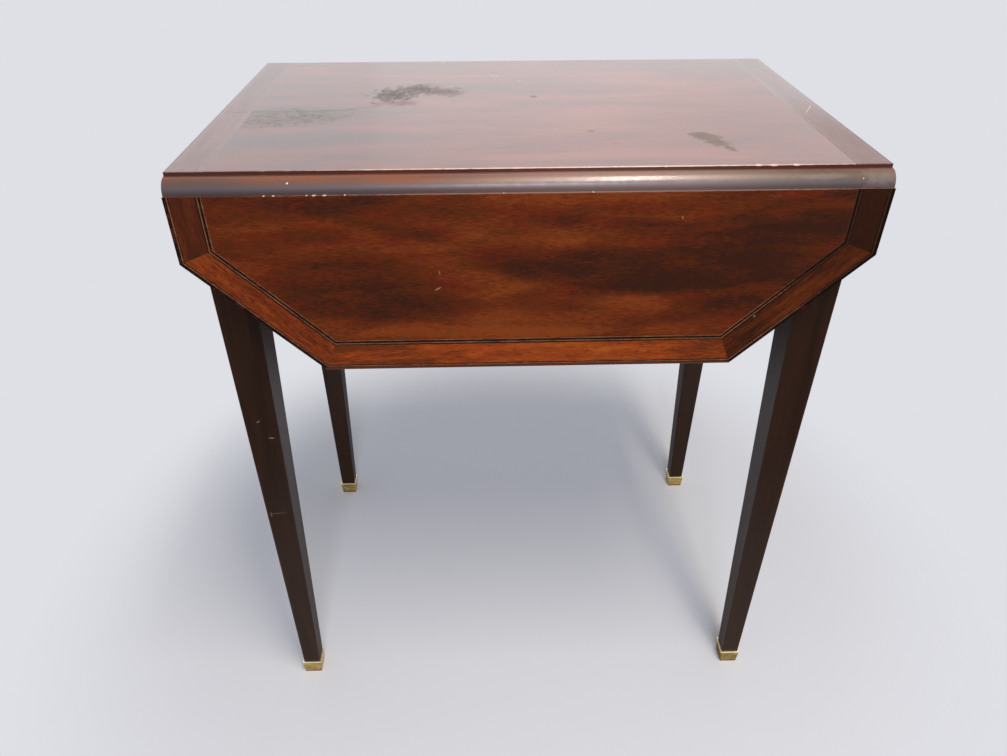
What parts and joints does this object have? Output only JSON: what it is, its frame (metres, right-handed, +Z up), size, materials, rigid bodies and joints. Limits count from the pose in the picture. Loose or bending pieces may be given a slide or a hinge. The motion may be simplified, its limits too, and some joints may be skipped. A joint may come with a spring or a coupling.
{
  "type": "drop-leaf side table",
  "caption": "Side table with a banded oblong top, hinged leaves with cut corners that hang at its long sides, folding stays, an end drawer and tapered legs in brass toe caps.",
  "frame": {"origin": "on the floor under the middle of the table", "axes": "+Z up, +X along the hinge lines towards the drawer, -Y towards the front leaf"},
  "size_m": [0.622, 0.4218, 0.711],
  "materials": {
    "board_mahogany": "lacquered mahogany veneer",
    "crossband": "lacquered mahogany crossbanding",
    "dark_line": "ebonised stringing",
    "light_line": "pale stringing under aged lacquer",
    "leg_wood": "dark stained, satin lacquer",
    "rail_mahogany": "dark stained, satin lacquer",
    "inner_wood": "unfinished secondary wood",
    "brass": "aged brass",
    "hardware_steel": "plain steel, dulled"
  },
  "bodies": {
    "frame": {"back_drawer_runner": "inner_wood", "back_left_leg": "leg_wood", "back_left_toe_cap": "brass", "back_right_leg": "leg_wood", "back_right_toe_cap": "brass", "back_side_rail": "rail_mahogany", "back_top_cleat": "inner_wood", "drawer_lower_blade": "rail_mahogany", "drawer_stops": "inner_wood", "drawer_upper_blade": "rail_mahogany", "front_drawer_runner": "inner_wood", "front_left_leg": "leg_wood", "front_left_toe_cap": "brass", "front_right_leg": "leg_wood", "front_right_toe_cap": "brass", "front_side_rail": "rail_mahogany", "front_top_cleat": "inner_wood", "hinge_pins": "hardware_steel", "hinge_top_plates": "hardware_steel", "hinge_top_screws": "hardware_steel", "left_end_rail": "rail_mahogany", "stay_rail_brackets": "hardware_steel", "stay_rail_screws": "hardware_steel", "top_board": "board_mahogany", "top_crossbands": "crossband", "top_dark_stringing": "dark_line", "top_light_stringing": "light_line", "top_screws": "hardware_steel"},
    "front_leaf": {"front_leaf_board": "board_mahogany", "front_leaf_dark_stringing": "dark_line", "front_leaf_edge_band": "crossband", "front_leaf_left_corner_band": "crossband", "front_leaf_light_stringing": "light_line", "front_leaf_right_corner_band": "crossband", "front_leaf_screws": "hardware_steel", "front_leaf_side_bands": "crossband", "front_hinge_leaf_plates": "hardware_steel", "front_stay_leaf_brackets": "hardware_steel"},
    "back_leaf": {"back_leaf_board": "board_mahogany", "back_leaf_dark_stringing": "dark_line", "back_leaf_edge_band": "crossband", "back_leaf_left_corner_band": "crossband", "back_leaf_light_stringing": "light_line", "back_leaf_right_corner_band": "crossband", "back_leaf_screws": "hardware_steel", "back_leaf_side_bands": "crossband", "back_hinge_leaf_plates": "hardware_steel", "back_stay_leaf_brackets": "hardware_steel"},
    "front_rail_arms": {"front_stay_rail_arms": "hardware_steel"},
    "front_leaf_arms": {"front_stay_leaf_arms": "hardware_steel"},
    "back_rail_arms": {"back_stay_rail_arms": "hardware_steel"},
    "back_leaf_arms": {"back_stay_leaf_arms": "hardware_steel"},
    "drawer": {"drawer_front": "rail_mahogany", "drawer_front_side": "inner_wood", "drawer_back_side": "inner_wood", "drawer_back": "inner_wood", "drawer_bottom": "inner_wood", "drawer_knob": "brass"}
  },
  "joints": [
    {"name": "front_leaf_hinge", "type": "hinge", "parent": "frame", "child": "front_leaf", "pos_m": [0, -0.195, 0.6951], "axis": [-1, 0, 0], "range_deg": [0, 90]},
    {"name": "front_stay_rail_pivot", "type": "hinge", "parent": "frame", "child": "front_rail_arms", "pos_m": [0, -0.1841, 0.6251], "axis": [-1, 0, 0], "range_deg": [0, 118.06]},
    {"name": "front_stay_leaf_pivot", "type": "hinge", "parent": "front_leaf", "child": "front_leaf_arms", "pos_m": [0, -0.1841, 0.5951], "axis": [1, 0, 0], "range_deg": [0, 151.95]},
    {"name": "back_leaf_hinge", "type": "hinge", "parent": "frame", "child": "back_leaf", "pos_m": [0, 0.195, 0.6951], "axis": [1, 0, 0], "range_deg": [0, 90]},
    {"name": "back_stay_rail_pivot", "type": "hinge", "parent": "frame", "child": "back_rail_arms", "pos_m": [0, 0.1841, 0.6251], "axis": [1, 0, 0], "range_deg": [0, 118.06]},
    {"name": "back_stay_leaf_pivot", "type": "hinge", "parent": "back_leaf", "child": "back_leaf_arms", "pos_m": [0, 0.1841, 0.5951], "axis": [-1, 0, 0], "range_deg": [0, 151.95]},
    {"name": "drawer_slide", "type": "slide", "parent": "frame", "child": "drawer", "axis": [1, 0, 0], "range_m": [0, 0.33]}
  ],
  "couplings": [
    {"joint": "front_stay_rail_pivot", "follows": "front_leaf_hinge", "ratio": 1.3117},
    {"joint": "front_stay_leaf_pivot", "follows": "front_leaf_hinge", "ratio": 1.6883},
    {"joint": "back_stay_rail_pivot", "follows": "back_leaf_hinge", "ratio": 1.3117},
    {"joint": "back_stay_leaf_pivot", "follows": "back_leaf_hinge", "ratio": 1.6883}
  ]
}
